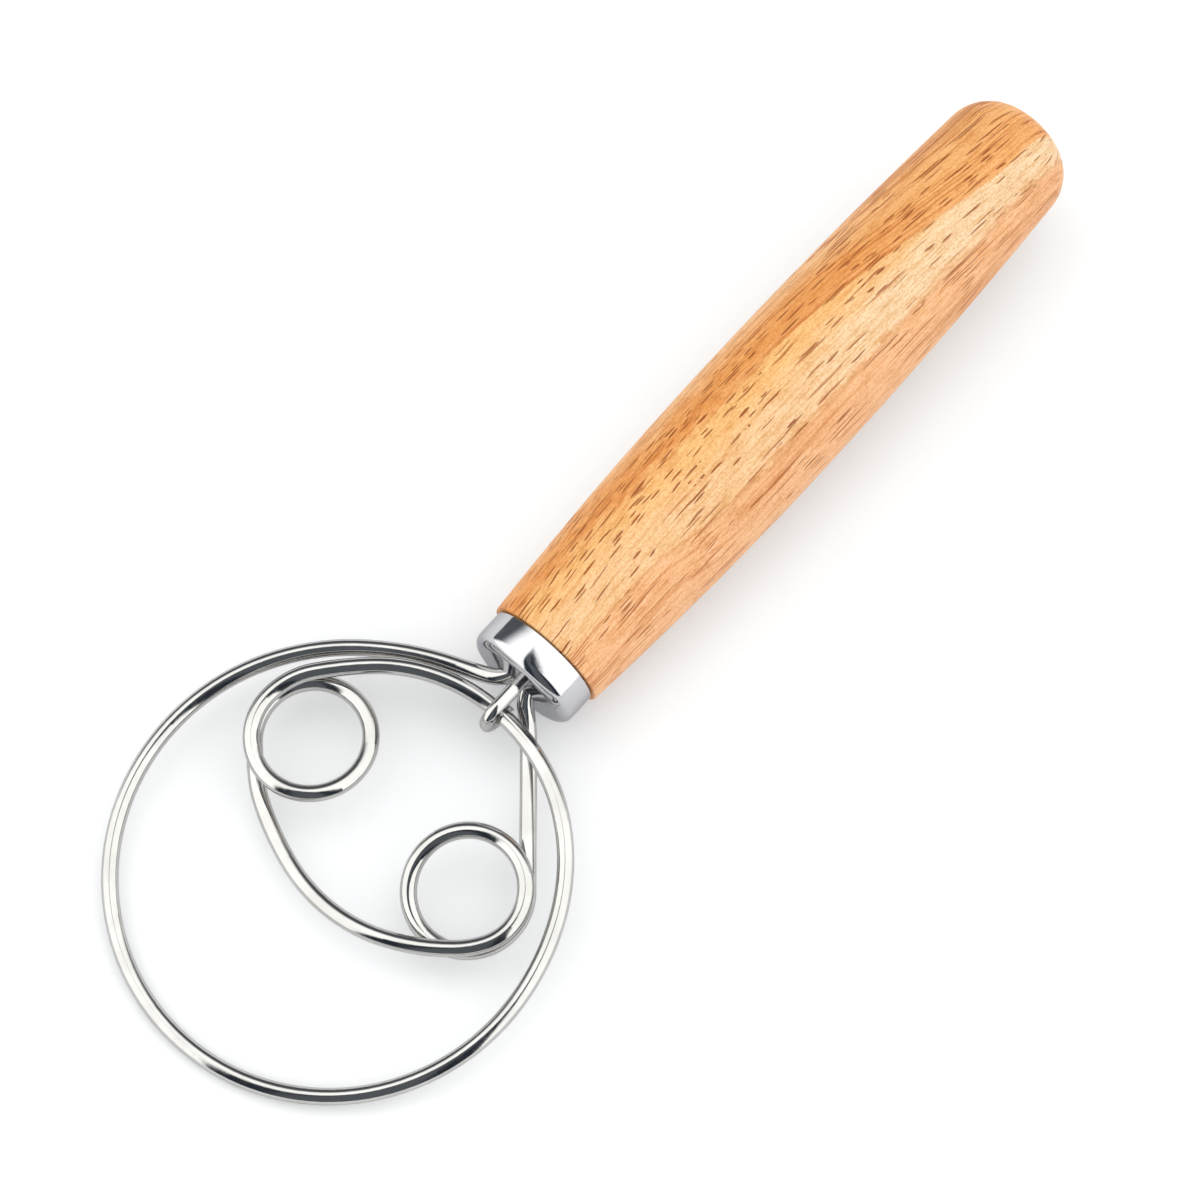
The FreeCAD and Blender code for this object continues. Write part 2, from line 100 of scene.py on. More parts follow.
def remap(tree, value, low, high, to_low=0.0, to_high=1.0):
    """Value eased from one range into another and held at its ends."""
    node = add_node(tree, "ShaderNodeMapRange", interpolation_type="SMOOTHSTEP")
    sources = {"Value": value, "From Min": low, "From Max": high, "To Min": to_low, "To Max": to_high}
    for name, source in sources.items():
        feed(tree, node.inputs[name], source)
    return node.outputs["Result"]


def between(tree, share, low, high):
    """Value eased from one end to the other by a share from nought to one."""
    return remap(tree, share, 0.0, 1.0, low, high)


def mix_colours(tree, share, first, second, blend_type="MIX"):
    """Mix of two colours."""
    node = add_node(tree, "ShaderNodeMix", data_type="RGBA", blend_type=blend_type)
    colour_inputs = [socket for socket in node.inputs if socket.type == "RGBA"]
    feed(tree, node.inputs[0], share)
    feed(tree, colour_inputs[0], first)
    feed(tree, colour_inputs[1], second)
    return next(socket for socket in node.outputs if socket.type == "RGBA")


def tinted(tree, colour, share, tint):
    """Colour darkened towards a tint by a share."""
    return mix_colours(tree, share, colour, tint, "MULTIPLY")


def combine(tree, x, y, z):
    """Vector from three values."""
    node = add_node(tree, "ShaderNodeCombineXYZ")
    for socket, source in zip(node.inputs, (x, y, z)):
        feed(tree, socket, source)
    return node.outputs["Vector"]


def separate(tree, vector):
    """The three values of a vector."""
    node = add_node(tree, "ShaderNodeSeparateXYZ")
    feed(tree, node.inputs["Vector"], vector)
    return node.outputs["X"], node.outputs["Y"], node.outputs["Z"]


def noise(tree, vector, scale=1.0, detail=2.0, roughness=0.5):
    """Noise value about a half."""
    node = add_node(tree, "ShaderNodeTexNoise")
    feed(tree, node.inputs["Vector"], vector)
    feed(tree, node.inputs["Scale"], scale)
    feed(tree, node.inputs["Detail"], detail)
    feed(tree, node.inputs["Roughness"], roughness)
    return node.outputs["Fac"]


def swayed(tree, distance, sway, reach):
    """Distance moved to and fro by a noise about a half."""
    moved = product(tree, calculate(tree, "SUBTRACT", sway, 0.5), reach)
    return calculate(tree, "ADD", distance, moved)


def bump(tree, height, distance, strength=1.0):
    """Normal of a surface with fine relief."""
    node = add_node(tree, "ShaderNodeBump")
    feed(tree, node.inputs["Height"], height)
    feed(tree, node.inputs["Distance"], distance)
    feed(tree, node.inputs["Strength"], strength)
    return node.outputs["Normal"]


def new_material(name):
    """Material with an empty Principled shader; gives the material, its tree and the shader."""
    material = bpy.data.materials.new(name)
    material.use_nodes = True
    tree = material.node_tree
    shader = next(node for node in tree.nodes if node.type == "BSDF_PRINCIPLED")
    return material, tree, shader


def object_coordinates(tree):
    """Place on the piece, in metres."""
    return add_node(tree, "ShaderNodeTexCoord").outputs["Object"]


def handle_coordinates(tree):
    """Millimetres along the handle from its butt, across it, and up from its axis."""
    mapping = add_node(tree, "ShaderNodeMapping", vector_type="TEXTURE")
    feed(tree, mapping.inputs["Vector"], object_coordinates(tree))
    feed(tree, mapping.inputs["Location"], HANDLE_BUTT)
    feed(tree, mapping.inputs["Rotation"], (0, HANDLE_DIP, 0))
    feed(tree, mapping.inputs["Scale"], (MILLIMETRE, MILLIMETRE, MILLIMETRE))
    return mapping.outputs["Vector"]


def stretched(tree, vector, cells):
    """Handle coordinates measured in the cells of a pattern or of marks."""
    node = add_node(tree, "ShaderNodeVectorMath", operation="MULTIPLY_ADD")
    feed(tree, node.inputs[0], vector)
    feed(tree, node.inputs[1], (1 / cells.along, 1 / cells.across, 1 / cells.across))
    feed(tree, node.inputs[2], (cells.shift, cells.shift, cells.shift))
    return node.outputs["Vector"]


def wood_noise(tree, vector, pattern):
    """Noise in the wood, as a pattern says."""
    return noise(tree, stretched(tree, vector, pattern), 1.0, pattern.detail, pattern.roughness)


# Beech: course of the grain

# Where the grain runs straight, how it sweeps aside from there, and how far it wanders
STRAIGHT_PLACE = 78.0
GRAIN_SWEEP = 0.001
GRAIN_WANDER = Pattern(7.0, 2.2, shift=2.9)
WANDER_REACH = 0.9
# Least radius at which it still follows the barrel's swell
LEAST_RADIUS = 9.0


def grain_coordinates(tree, handle):
    """Handle coordinates that follow the barrel's swell and the slight sweep of the grain."""
    x, y, z = separate(tree, handle)
    radius = calculate(tree, "MAXIMUM", hypotenuse(tree, y, z), LEAST_RADIUS)
    evened = calculate(tree, "DIVIDE", HANDLE_RADIUS, radius)
    from_straight = calculate(tree, "SUBTRACT", x, STRAIGHT_PLACE)
    sweep = product(tree, from_straight, from_straight, GRAIN_SWEEP)
    across = calculate(tree, "SUBTRACT", product(tree, y, evened), sweep)
    across = swayed(tree, across, wood_noise(tree, handle, GRAIN_WANDER), WANDER_REACH)
    return combine(tree, x, across, product(tree, z, evened))


# Beech: growth layers and the boundaries between them

# Upper boundary, sharp and slanting, by its place across the handle: in the middle, bent towards the butt
# until it runs level there, bent a little towards the head, and leaning in depth
UPPER_PLACE = -4.2
BUTT_BEND = 58.0
BUTT_BEND_SOFTNESS = 20.0
BUTT_SLOPE = 0.19
BUTT_LEVEL = 4.2
BUTT_LEVEL_SOFTNESS = 3.0
HEAD_BEND = 85.0
HEAD_SLOPE = -0.045
UPPER_LEAN = 0.12
# Lower boundary, soft: where along the handle it steps, and its place across before and after
LOWER_STEP = (92.0, 112.0)
LOWER_PLACES = (8.9, 6.0)
# Sway of both; the upper one's reach grows where it turns from a clean line into a ragged one
BOUNDARY_SWAY = Pattern(6.0, 2.6, 3.0, 0.65)
RAGGED_STRETCH = (58.0, 84.0)
UPPER_REACH = (1.0, 9.0)
LOWER_REACH = 3.0

# Colours above the upper boundary, by the distance from it
UPPER_LAYER = (
    (-14.0, (0.89, 0.52, 0.245)),
    (-9.0, (0.90, 0.54, 0.255)),
    (-5.0, (0.86, 0.41, 0.128)),
    (-2.0, (0.85, 0.38, 0.105)),
    (0.0, (0.90, 0.44, 0.160)),
)
# Colours that this layer turns to at the butt, near the boundary and far from it
BUTT_ORANGE = (0.93, 0.50, 0.190, 1)
BUTT_BROWN = (0.77, 0.37, 0.110, 1)
BUTT_STRETCH = (48.0, 22.0)
BUTT_SHARE = 0.8
BROWN_FADE = (-10.5, -13.0)
# Half the width of the change at the upper boundary, where it is clean and where it is ragged
UPPER_SOFTNESS = (0.22, 1.3)
# Colours of the pale layer between the boundaries: near the upper one, at the head and at the butt
YELLOW_WOOD = (0.97, 0.58, 0.235, 1)
HEAD_CREAM = (0.97, 0.64, 0.350, 1)
BUTT_CREAM = (0.98, 0.73, 0.470, 1)
CREAM_STRETCH = (100.0, 35.0)
CREAM_FADE = (-11.0, -4.0)
# The pinkish layer on the near side
PINK_WOOD = (1.00, 0.58, 0.315, 1)
PINK_FADE = (-1.6, 1.2)

# Fine lines along the boundaries: length and depth of the noise they come from, and what of it is a line
LINE_LENGTH = 55.0
LINE_DEPTH = 12.0
LINE_DETAIL = 2.0
LINE_ROUGHNESS = 0.6
LINE_FADE = (0.53, 0.64)
LINE_TINT = (0.76, 0.56, 0.36, 1)
# Upper ones, with their strength where the boundary is clean and where it is ragged
UPPER_LINES = Lines(0.6, 3.1)
UPPER_LINES_FADE = (0.3, -0.3)
UPPER_LINES_STRENGTH = (0.9, 0.25)
# Lower ones
LOWER_LINES = Lines(0.7, 7.9)
LOWER_LINES_FADE = (-1.0, 0.5)
LOWER_LINES_STRENGTH = 0.55
# Dark edge of each boundary; the upper one begins some way from the butt
UPPER_EDGE_FADE = (0.50, 0.10)
UPPER_EDGE_START = (20.0, 40.0)
LOWER_EDGE_FADE = (0.45, 0.10)
LOWER_EDGE_STRENGTH = 0.45


def upper_boundary(tree, x, y, z):
    """Millimetres from the sharp boundary that slants over the handle, negative above it."""
    to_butt = calculate(tree, "SUBTRACT", BUTT_BEND, x)
    to_butt = calculate(tree, "SMOOTH_MAX", to_butt, 0.0, BUTT_BEND_SOFTNESS)
    boundary = calculate(tree, "MULTIPLY_ADD", to_butt, BUTT_SLOPE, UPPER_PLACE)
    boundary = calculate(tree, "SMOOTH_MIN", boundary, BUTT_LEVEL, BUTT_LEVEL_SOFTNESS)
    boundary = calculate(tree, "MULTIPLY_ADD", past(tree, x, HEAD_BEND), HEAD_SLOPE, boundary)
    lean = product(tree, calculate(tree, "SUBTRACT", z, HANDLE_RADIUS), UPPER_LEAN)
    return calculate(tree, "ADD", calculate(tree, "SUBTRACT", y, boundary), lean)


def lower_boundary(tree, x, y):
    """Millimetres from the soft boundary on the near side, positive below it."""
    return calculate(tree, "SUBTRACT", y, remap(tree, x, *LOWER_STEP, *LOWER_PLACES))


def growth_layers(tree, handle):
    """Where a place on the handle lies among its growth layers."""
    x, y, z = separate(tree, handle)
    ragged = remap(tree, x, *RAGGED_STRETCH)
    sway = wood_noise(tree, handle, BOUNDARY_SWAY)
    straight_upper = upper_boundary(tree, x, y, z)
    upper = swayed(tree, straight_upper, sway, between(tree, ragged, *UPPER_REACH))
    straight_lower = lower_boundary(tree, x, y)
    lower = swayed(tree, straight_lower, sway, LOWER_REACH)
    return Layers(x, z, ragged, upper, straight_upper, lower, straight_lower)


def colour_ramp(tree, place, stops):
    """Colour at a place among stops, each a place and its colour."""
    low = stops[0][0]
    high = stops[-1][0]
    share = add_node(tree, "ShaderNodeMapRange")
    feed(tree, share.inputs["Value"], place)
    feed(tree, share.inputs["From Min"], low)
    feed(tree, share.inputs["From Max"], high)
    ramp = add_node(tree, "ShaderNodeValToRGB")
    feed(tree, ramp.inputs["Fac"], share.outputs["Result"])
    elements = ramp.color_ramp.elements
    while len(elements) < len(stops):
        elements.new(1.0)
    for element, (stop, colour) in zip(elements, stops):
        element.position = (stop - low) / (high - low)
        element.color = (*colour, 1)
    return ramp.outputs["Color"]


def growth_colours(tree, layers):
    """Colour of the three growth layers that show on the handle."""
    above = colour_ramp(tree, layers.upper, UPPER_LAYER)
    at_butt = mix_colours(tree, remap(tree, layers.upper, *BROWN_FADE), BUTT_ORANGE, BUTT_BROWN)
    above = mix_colours(tree, remap(tree, layers.x, *BUTT_STRETCH, 0.0, BUTT_SHARE), above, at_butt)
    cream = mix_colours(tree, remap(tree, layers.x, *CREAM_STRETCH), HEAD_CREAM, BUTT_CREAM)
    pale = mix_colours(tree, remap(tree, layers.lower, *CREAM_FADE), YELLOW_WOOD, cream)
    pale = mix_colours(tree, remap(tree, layers.lower, *PINK_FADE), pale, PINK_WOOD)
    softness = between(tree, layers.ragged, *UPPER_SOFTNESS)
    below = remap(tree, layers.upper, product(tree, softness, -1.0), softness)
    return mix_colours(tree, below, above, pale)


def layer_lines(tree, layers, place, lines):
    """Fine lines along a growth boundary."""
    along = product(tree, layers.x, 1 / LINE_LENGTH)
    across = calculate(tree, "MULTIPLY_ADD", place, 1 / lines.spacing, lines.shift)
    vector = combine(tree, along, across, product(tree, layers.z, 1 / LINE_DEPTH))
    return remap(tree, noise(tree, vector, 1.0, LINE_DETAIL, LINE_ROUGHNESS), *LINE_FADE)


def boundary_lines(tree, layers):
    """Mask of the fine lines along both boundaries."""
    upper_lines = product(
        tree,
        layer_lines(tree, layers, layers.straight_upper, UPPER_LINES),
        remap(tree, layers.straight_upper, *UPPER_LINES_FADE),
        between(tree, layers.ragged, *UPPER_LINES_STRENGTH))
    lower_lines = product(
        tree,
        layer_lines(tree, layers, layers.straight_lower, LOWER_LINES),
        remap(tree, layers.lower, *LOWER_LINES_FADE, 0.0, LOWER_LINES_STRENGTH))
    return calculate(tree, "MAXIMUM", upper_lines, lower_lines)


def boundary_edges(tree, layers):
    """Mask of the dark edges of both boundaries, the upper one only where it is clean."""
    upper_edge = product(
        tree,
        remap(tree, calculate(tree, "ABSOLUTE", layers.upper), *UPPER_EDGE_FADE),
        between(tree, layers.ragged, 1.0, 0.0),
        remap(tree, layers.x, *UPPER_EDGE_START))
    from_lower = calculate(tree, "ABSOLUTE", layers.lower)
    lower_edge = remap(tree, from_lower, *LOWER_EDGE_FADE, 0.0, LOWER_EDGE_STRENGTH)
    return calculate(tree, "MAXIMUM", upper_edge, lower_edge)


# Beech: fibre, clouds and grit

FIBRE = Pattern(8.0, 0.42, 4.0, 0.65)
FIBRE_FADE = (0.42, 0.66)
FIBRE_STRENGTH = 0.8
FIBRE_TINT = (0.84, 0.68, 0.48, 1)
# Clouds, with their strength on plain wood and in the blotchy part above the ragged boundary
CLOUDS = Pattern(4.0, 1.8, 3.0, 0.6, 5.3)
CLOUD_FADE = (0.45, 0.66)
CLOUD_STRENGTH = (0.40, 0.95)
BLOTCH_FADE = (4.0, -1.0)
GRIT = Pattern(0.55, 0.32, 2.0, 0.7, 1.7)
GRIT_FADE = (0.42, 0.64)
GRIT_STRENGTH = 0.9
# Tint of the clouds and the grit
GRAIN_TINT = (0.86, 0.74, 0.58, 1)


def fine_grain(tree, colour, fibre, grain, layers):
    """Wood colour with its fibre, soft clouds and grit."""
    colour = tinted(tree, colour, remap(tree, fibre, *FIBRE_FADE, 0.0, FIBRE_STRENGTH), FIBRE_TINT)
    blotchy = product(tree, layers.ragged, remap(tree, layers.upper, *BLOTCH_FADE))
    cloud_strength = between(tree, blotchy, *CLOUD_STRENGTH)
    clouds = remap(tree, wood_noise(tree, grain, CLOUDS), *CLOUD_FADE, 0.0, cloud_strength)
    colour = tinted(tree, colour, clouds, GRAIN_TINT)
    grit = remap(tree, wood_noise(tree, grain, GRIT), *GRIT_FADE, 0.0, GRIT_STRENGTH)
    return tinted(tree, colour, grit, GRAIN_TINT)


# Beech: short dark flecks, longer streaks and long vessel lines

FLECKS = Marks(5.6, 0.68, 3.7)
STREAKS = Marks(11.0, 0.58, 8.2)
VESSELS = Marks(17.0, 0.66, 11.3)
# A mark in its cell: how far it reaches, the share of this that is quite dark, how dark it is, and how far
# the cells are jumbled
MARK_REACH = (0.20, 0.37)
MARK_CORE = 0.65
MARK_TONE = (0.8, 1.0)
CELL_RANDOMNESS = 0.75
# Shift of the marks along the handle, so that no rows of them show
MARK_SHIFT = Pattern(20.0, 3.0, 0.0, shift=6.1)
MARK_SHIFT_REACH = 14.0
# Share of the cells that hold a fleck, far from the upper boundary and near it, on either side
FLECK_PRESENCE = (0.12, 0.46)
FLECKS_ABOVE = (-8.0, -4.0)
FLECKS_BELOW = (8.0, 4.0)
# How much of this is left in the pinkish layer, and above and below the upper boundary at the butt
FLECK_PINK_FADE = (-1.0, 1.5)
FLECK_PINK_SHARE = 0.25
FLECK_BUTT_FADE = (0.0, 2.0)
FLECK_BUTT_SHARES = (0.7, 0.35)
# Share of the cells that hold a streak, from head to butt
STREAK_STRETCH = (95.0, 40.0)
STREAK_PRESENCE = (0.10, 0.24)
# Share of the cells that hold a vessel line, from the pale layer to the pinkish one
VESSEL_FADE = (-3.0, 1.0)
VESSEL_PRESENCE = (0.06, 0.24)
# Where the marks begin, just off the butt
MARKS_START = (0.8, 3.0)
# How much of the wood's colour they cover; a streak's share is of a fleck's
MARK_STRENGTH = 0.95
STREAK_SHARE = 0.9
VESSEL_STRENGTH = 0.8
FLECK_COLOUR = (0.29, 0.060, 0.002, 1)
VESSEL_COLOUR = (0.42, 0.110, 0.025, 1)


def unrolled(tree, grain):
    """Grain coordinates laid flat: along the handle, shifted to and fro, and round it."""
    x, y, z = separate(tree, grain)
    along = swayed(tree, x, wood_noise(tree, grain, MARK_SHIFT), MARK_SHIFT_REACH)
    round_handle = product(tree, calculate(tree, "ARCTAN2", y, z), HANDLE_RADIUS)
    return combine(tree, along, round_handle, 0.0)


def dashes(tree, surface, marks, presence):
    """Mask of dashes along the grain: cells that are drawn where a random number allows it."""
    cells = add_node(tree, "ShaderNodeTexVoronoi", voronoi_dimensions="2D")
    feed(tree, cells.inputs["Vector"], stretched(tree, surface, marks))
    feed(tree, cells.inputs["Scale"], 1.0)
    feed(tree, cells.inputs["Randomness"], CELL_RANDOMNESS)
    chance, size_draw, tone_draw = separate(tree, cells.outputs["Color"])
    reach = between(tree, size_draw, *MARK_REACH)
    drawn = remap(tree, cells.outputs["Distance"], reach, product(tree, reach, MARK_CORE))
    present = calculate(tree, "LESS_THAN", chance, presence)
    return product(tree, drawn, present, between(tree, tone_draw, *MARK_TONE))


def fleck_presence(tree, layers):
    """Share of the cells that hold a fleck."""
    near_upper = product(
        tree, remap(tree, layers.upper, *FLECKS_ABOVE), remap(tree, layers.upper, *FLECKS_BELOW))
    butt_share = remap(tree, layers.upper, *FLECK_BUTT_FADE, *FLECK_BUTT_SHARES)
    return product(
        tree,
        between(tree, near_upper, *FLECK_PRESENCE),
        remap(tree, layers.lower, *FLECK_PINK_FADE, 1.0, FLECK_PINK_SHARE),
        between(tree, layers.ragged, butt_share, 1.0))


def dark_marks(tree, grain, layers):
    """Masks of the flecks with the streaks, and of the vessel lines."""
    surface = unrolled(tree, grain)
    flecks = dashes(tree, surface, FLECKS, fleck_presence(tree, layers))
    streak_presence = remap(tree, layers.x, *STREAK_STRETCH, *STREAK_PRESENCE)
    streaks = product(tree, dashes(tree, surface, STREAKS, streak_presence), STREAK_SHARE)
    vessel_presence = remap(tree, layers.lower, *VESSEL_FADE, *VESSEL_PRESENCE)
    vessels = dashes(tree, surface, VESSELS, vessel_presence)
    off_butt = remap(tree, layers.x, *MARKS_START)
    marks = product(tree, calculate(tree, "MAXIMUM", flecks, streaks), off_butt)
    return marks, product(tree, vessels, off_butt)


# Beech: the finished material

# Roughness over the fibre, and what a mark adds to it
FIBRE_RANGE = (0.3, 0.75)
SATIN_ROUGHNESS = (0.44, 0.54)
MARK_ROUGHNESS = 0.15
SATIN_SPECULAR = 0.35
# Relief: the fibre's share of it, with the marks sunk in, its depth, and how much of it shows
FIBRE_RELIEF = 0.4
RELIEF_DEPTH = 0.03
RELIEF_STRENGTH = 0.5
# Paler than the wood, for the light that it throws on to the floor
BOUNCE_COLOUR = (0.62, 0.56, 0.51, 1)
BOUNCE_SHARE = 0.7


def beech():
    """Satin beech: growth layers with their lines, fine grain, dark marks and vessel lines."""
    material, tree, shader = new_material("satin_beech")
    handle = handle_coordinates(tree)
    grain = grain_coordinates(tree, handle)
    layers = growth_layers(tree, handle)
    fibre = wood_noise(tree, grain, FIBRE)
    marks, vessels = dark_marks(tree, grain, layers)

    colour = growth_colours(tree, layers)
    colour = tinted(tree, colour, boundary_lines(tree, layers), LINE_TINT)
    colour = tinted(tree, colour, boundary_edges(tree, layers), LINE_TINT)
    colour = fine_grain(tree, colour, fibre, grain, layers)
    colour = mix_colours(tree, product(tree, marks, MARK_STRENGTH), colour, FLECK_COLOUR)
    colour = mix_colours(tree, product(tree, vessels, VESSEL_STRENGTH), colour, VESSEL_COLOUR)
    light_path = add_node(tree, "ShaderNodeLightPath")
    bounced = product(tree, light_path.outputs["Is Diffuse Ray"], BOUNCE_SHARE)
    feed(tree, shader.inputs["Base Color"], mix_colours(tree, bounced, colour, BOUNCE_COLOUR))

    sunk = calculate(tree, "MAXIMUM", marks, vessels)
    plain_roughness = remap(tree, fibre, *FIBRE_RANGE, *SATIN_ROUGHNESS)
    roughness = calculate(tree, "MULTIPLY_ADD", sunk, MARK_ROUGHNESS, plain_roughness)
    feed(tree, shader.inputs["Roughness"], roughness)
    relief = calculate(tree, "SUBTRACT", product(tree, fibre, FIBRE_RELIEF), sunk)
    feed(tree, shader.inputs["Normal"], bump(tree, relief, RELIEF_DEPTH * MILLIMETRE, RELIEF_STRENGTH))
    shader.inputs["Specular IOR Level"].default_value = SATIN_SPECULAR
    return material


# Steel of the cap and of the wires

CAP_STEEL = Steel((0.55, 0.55, 0.565, 1), (0.49, 0.49, 0.505, 1), (0.05, 0.12), 0.004)
WIRE_STEEL = Steel((0.53, 0.525, 0.51, 1), (0.47, 0.465, 0.45, 1), (0.07, 0.14), 0.003)
GRAZING_TINT = (0.68, 0.68, 0.70, 1)
# Noises of the polish: scale for metres, detail and, where it isn't the usual one, roughness
TONE_NOISE = (160.0, 2.0)
ROUGHNESS_NOISE = (700.0, 4.0, 0.6)
RIPPLE_NOISE = (1800.0, 2.0)
# Where most values of a noise lie
NOISE_RANGE = (0.3, 0.7)
# Crown of the cap's side: where along the handle it begins, and how it falls from there
CROWN_START = 132.6
CROWN_FALL = -0.016


def uneven_polish():
    """Effect that the cap and the wires share: tone, roughness and a faint ripple that vary."""
    group = bpy.data.node_groups.new("uneven_polish", "ShaderNodeTree")
    inputs = {"Vector": "Vector", "Bright": "Color", "Dull": "Color", "Smooth": "Float", "Rough": "Float"}
    for name, kind in inputs.items():
        group.interface.new_socket(name, in_out="INPUT", socket_type=f"NodeSocket{kind}")
    outputs = {"Colour": "Color", "Roughness": "Float", "Ripple": "Float"}
    for name, kind in outputs.items():
        group.interface.new_socket(name, in_out="OUTPUT", socket_type=f"NodeSocket{kind}")
    given = add_node(group, "NodeGroupInput").outputs
    result = add_node(group, "NodeGroupOutput").inputs

    tone = remap(group, noise(group, given["Vector"], *TONE_NOISE), *NOISE_RANGE)
    feed(group, result["Colour"], mix_colours(group, tone, given["Dull"], given["Bright"]))
    wear = noise(group, given["Vector"], *ROUGHNESS_NOISE)
    feed(group, result["Roughness"], remap(group, wear, *NOISE_RANGE, given["Smooth"], given["Rough"]))
    feed(group, result["Ripple"], noise(group, given["Vector"], *RIPPLE_NOISE))
    return group


def polished_steel(name, polish, steel, shape=None):
    """Polished steel with its own tones, roughness and ripple, and a shape of its own where one is given."""
    material, tree, shader = new_material(name)
    effect = add_node(tree, "ShaderNodeGroup", node_tree=polish)
    smooth, rough = steel.roughness
    feed(tree, effect.inputs["Vector"], object_coordinates(tree))
    feed(tree, effect.inputs["Bright"], steel.bright)
    feed(tree, effect.inputs["Dull"], steel.dull)
    feed(tree, effect.inputs["Smooth"], smooth)
    feed(tree, effect.inputs["Rough"], rough)
    feed(tree, shader.inputs["Base Color"], effect.outputs["Colour"])
    feed(tree, shader.inputs["Roughness"], effect.outputs["Roughness"])
    height = product(tree, effect.outputs["Ripple"], steel.ripple)
    if shape:
        height = calculate(tree, "ADD", height, shape(tree))
    feed(tree, shader.inputs["Normal"], bump(tree, height, MILLIMETRE))
    shader.inputs["Metallic"].default_value = 1.0
    shader.inputs["Specular Tint"].default_value = GRAZING_TINT
    return material


def cap_crown(tree):
    """Height in millimetres of the cap's side, which rounds off towards its front rim."""
    x, _, _ = separate(tree, handle_coordinates(tree))
    to_front = past(tree, x, CROWN_START)
    return product(tree, to_front, to_front, CROWN_FALL)


def polished_cap(polish):
    """Bright, slightly crowned steel of the cap."""
    return polished_steel("polished_cap", polish, CAP_STEEL, cap_crown)


def bright_wire(polish):
    """Bright steel of the whisk's wire and of the hook."""
    return polished_steel("bright_wire", polish, WIRE_STEEL)


# Resin in the handle's bore

DARK_AMBER = (0.55, 0.42, 0.24, 1)
PALE_AMBER = (0.66, 0.54, 0.34, 1)
RESIN_ROUGHNESS = (0.35, 0.5)
# Scale for metres, and detail
RESIN_NOISE = (300.0, 3.0)


def resin():
    """Cloudy amber resin."""
    material, tree, shader = new_material("cloudy_resin")
    clouds = noise(tree, object_coordinates(tree), *RESIN_NOISE)
    amber = mix_colours(tree, remap(tree, clouds, *NOISE_RANGE), DARK_AMBER, PALE_AMBER)
    feed(tree, shader.inputs["Base Color"], amber)
    feed(tree, shader.inputs["Roughness"], remap(tree, clouds, *NOISE_RANGE, *RESIN_ROUGHNESS))
    return material


def dress(node, material):
    """Give a CAD node its material."""
    for material_slot in frame["nodes"][node].material_slots:
        material_slot.material = material


# Floor

FLOOR_WIDTH = 6
FLOOR_COLOUR = (0.76, 0.765, 0.775, 1)
FLOOR_WHITE = (0.96, 0.97, 0.98, 1)
# How much of the floor's white is its own where the camera sees it; the rest takes the shadows
FLOOR_GLOW = 0.06


def pale_floor():
    """Matt floor that looks white to the camera and in the metal."""
    material = bpy.data.materials.new("pale_floor")
    material.use_nodes = True
    tree = material.node_tree
    tree.nodes.clear()
    light_path = add_node(tree, "ShaderNodeLightPath")
    camera_ray = light_path.outputs["Is Camera Ray"]
    seen = calculate(tree, "MAXIMUM", camera_ray, light_path.outputs["Is Glossy Ray"])
    seen = calculate(tree, "MAXIMUM", seen, light_path.outputs["Is Transmission Ray"])
    matt = add_node(tree, "ShaderNodeBsdfDiffuse")
    feed(tree, matt.inputs["Color"], mix_colours(tree, seen, FLOOR_COLOUR, FLOOR_WHITE))
    glow = add_node(tree, "ShaderNodeEmission")
    feed(tree, glow.inputs["Color"], FLOOR_WHITE)
    surface = add_node(tree, "ShaderNodeMixShader")
    feed(tree, surface.inputs["Fac"], product(tree, camera_ray, FLOOR_GLOW))
    feed(tree, surface.inputs[1], matt.outputs["BSDF"])
    feed(tree, surface.inputs[2], glow.outputs["Emission"])
    output = add_node(tree, "ShaderNodeOutputMaterial")
    feed(tree, output.inputs["Surface"], surface.outputs["Shader"])
    return material


def add_floor():
    """Floor that the whisk lies on."""
    bpy.ops.object.select_all(action="DESELECT")
    bpy.ops.mesh.primitive_plane_add(size=FLOOR_WIDTH)
    floor = bpy.context.object
    floor.name = "floor"
    floor.data.materials.append(pale_floor())


# Studio, by degrees from straight overhead: across the picture and away from the camera

# As polished metal shows it: white sheets overhead and on both sides, and a dark far end
SHEET_LIGHT = (1.95, 1.95, 1.93, 1)
FAR_LIGHT = (0.13, 0.14, 0.155, 1)
FAR_FADE = (26.0, 50.0)
# The dark room round the camera: a wedge, by its tip, its middle line, how it widens and how soft its edge is
ROOM_LIGHT = (0.15, 0.165, 0.185, 1)
ROOM_TIP = 10.0
ROOM_MIDDLE = -6.0
ROOM_SPREAD = 0.78
ROOM_SOFTNESS = 3.0
# The room's darker edges, by the way from the middle line as a share of the depth, and the least depth
ROOM_SHADE = (0.035, 0.045, 0.06, 1)
ROOM_SHADE_FADE = (0.28, 0.44)
LEAST_DEPTH = 1.0
# As it lights matt surfaces: a panel over an even fill
FILL_LIGHT = (0.93, 0.93, 0.93, 1)
PANEL_LIGHT = (1.38, 1.38, 1.38, 1)
PANEL_FADE = (-4.0, 8.0)
# Least level part of a direction, which keeps the point straight overhead from dividing by nought
LEAST_LEVEL = 0.001


def overhead_degrees(tree):
    """Degrees from straight overhead, across the picture and away from the camera."""
    turned = add_node(tree, "ShaderNodeMapping", vector_type="POINT")
    feed(tree, turned.inputs["Vector"], add_node(tree, "ShaderNodeTexCoord").outputs["Generated"])
    feed(tree, turned.inputs["Rotation"], (0, 0, -CAMERA_AZIMUTH))
    right, away, up = separate(tree, turned.outputs["Vector"])
    level = hypotenuse(tree, right, away)
    from_overhead = calculate(tree, "DEGREES", calculate(tree, "ARCTAN2", level, up))
    spread = calculate(tree, "DIVIDE", from_overhead, calculate(tree, "MAXIMUM", level, LEAST_LEVEL))
    return product(tree, right, spread), product(tree, away, spread)


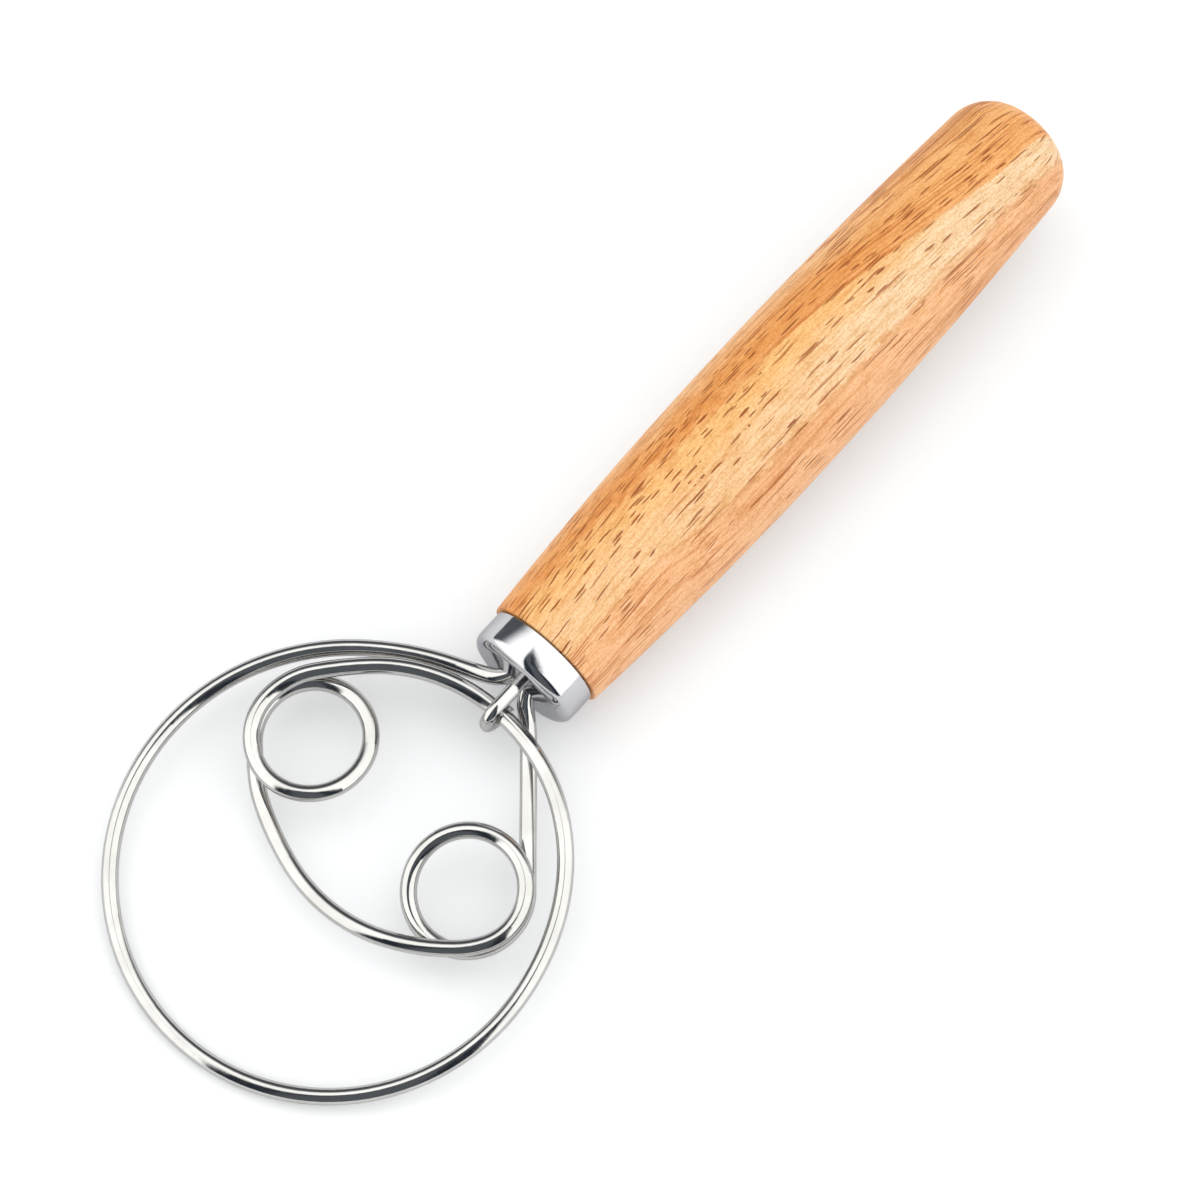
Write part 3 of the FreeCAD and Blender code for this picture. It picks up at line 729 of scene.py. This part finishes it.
def mirrored_light(tree, across, along, far):
    """Light that polished metal shows."""
    sheets = mix_colours(tree, far, SHEET_LIGHT, FAR_LIGHT)
    depth = calculate(tree, "SUBTRACT", ROOM_TIP, along)
    off_middle = calculate(tree, "ABSOLUTE", calculate(tree, "SUBTRACT", across, ROOM_MIDDLE))
    inside = calculate(tree, "SUBTRACT", product(tree, depth, ROOM_SPREAD), off_middle)
    edge_share = calculate(tree, "DIVIDE", off_middle, calculate(tree, "MAXIMUM", depth, LEAST_DEPTH))
    room = mix_colours(tree, remap(tree, edge_share, *ROOM_SHADE_FADE), ROOM_LIGHT, ROOM_SHADE)
    return mix_colours(tree, remap(tree, inside, -ROOM_SOFTNESS, ROOM_SOFTNESS), sheets, room)


def matt_light(tree, along, far):
    """Light that falls on matt surfaces."""
    panel = product(tree, remap(tree, along, *PANEL_FADE), calculate(tree, "SUBTRACT", 1.0, far))
    return mix_colours(tree, panel, FILL_LIGHT, PANEL_LIGHT)


def add_studio():
    """Light from all round."""
    world = bpy.data.worlds.new("studio")
    bpy.context.scene.world = world
    world.use_nodes = True
    tree = world.node_tree
    tree.nodes.clear()
    across, along = overhead_degrees(tree)
    far = remap(tree, along, *FAR_FADE)
    mirrored = mirrored_light(tree, across, along, far)
    diffuse_ray = add_node(tree, "ShaderNodeLightPath").outputs["Is Diffuse Ray"]
    light = mix_colours(tree, diffuse_ray, mirrored, matt_light(tree, along, far))
    background = add_node(tree, "ShaderNodeBackground")
    feed(tree, background.inputs["Color"], light)
    output = add_node(tree, "ShaderNodeOutputWorld")
    feed(tree, output.inputs["Surface"], background.outputs["Background"])


def add_camera():
    """Camera at the photograph's viewing angle."""
    camera_data = bpy.data.cameras.new("camera")
    camera = bpy.data.objects.new("camera", camera_data)
    bpy.context.scene.collection.objects.link(camera)
    back = Vector((
        math.sin(CAMERA_AZIMUTH) * math.cos(CAMERA_ELEVATION),
        -math.cos(CAMERA_AZIMUTH) * math.cos(CAMERA_ELEVATION),
        math.sin(CAMERA_ELEVATION)))
    camera.location = CAMERA_TARGET + back * CAMERA_DISTANCE
    camera.rotation_mode = "QUATERNION"
    camera.rotation_quaternion = (-back).to_track_quat("-Z", "Y")
    camera_data.lens = CAMERA_LENS
    camera_data.sensor_width = SENSOR_WIDTH
    camera_data.clip_start = NEAREST_SEEN
    bpy.context.scene.camera = camera


polish = uneven_polish()
cap_steel = polished_cap(polish)
wire_steel = bright_wire(polish)
dress("handle", beech())
dress("ferrule", cap_steel)
dress("whisk_wire", wire_steel)
dress("retaining_hook", wire_steel)
dress("bonding_resin", resin())
add_floor()
add_studio()
add_camera()
bpy.context.scene.view_settings.view_transform = "Standard"
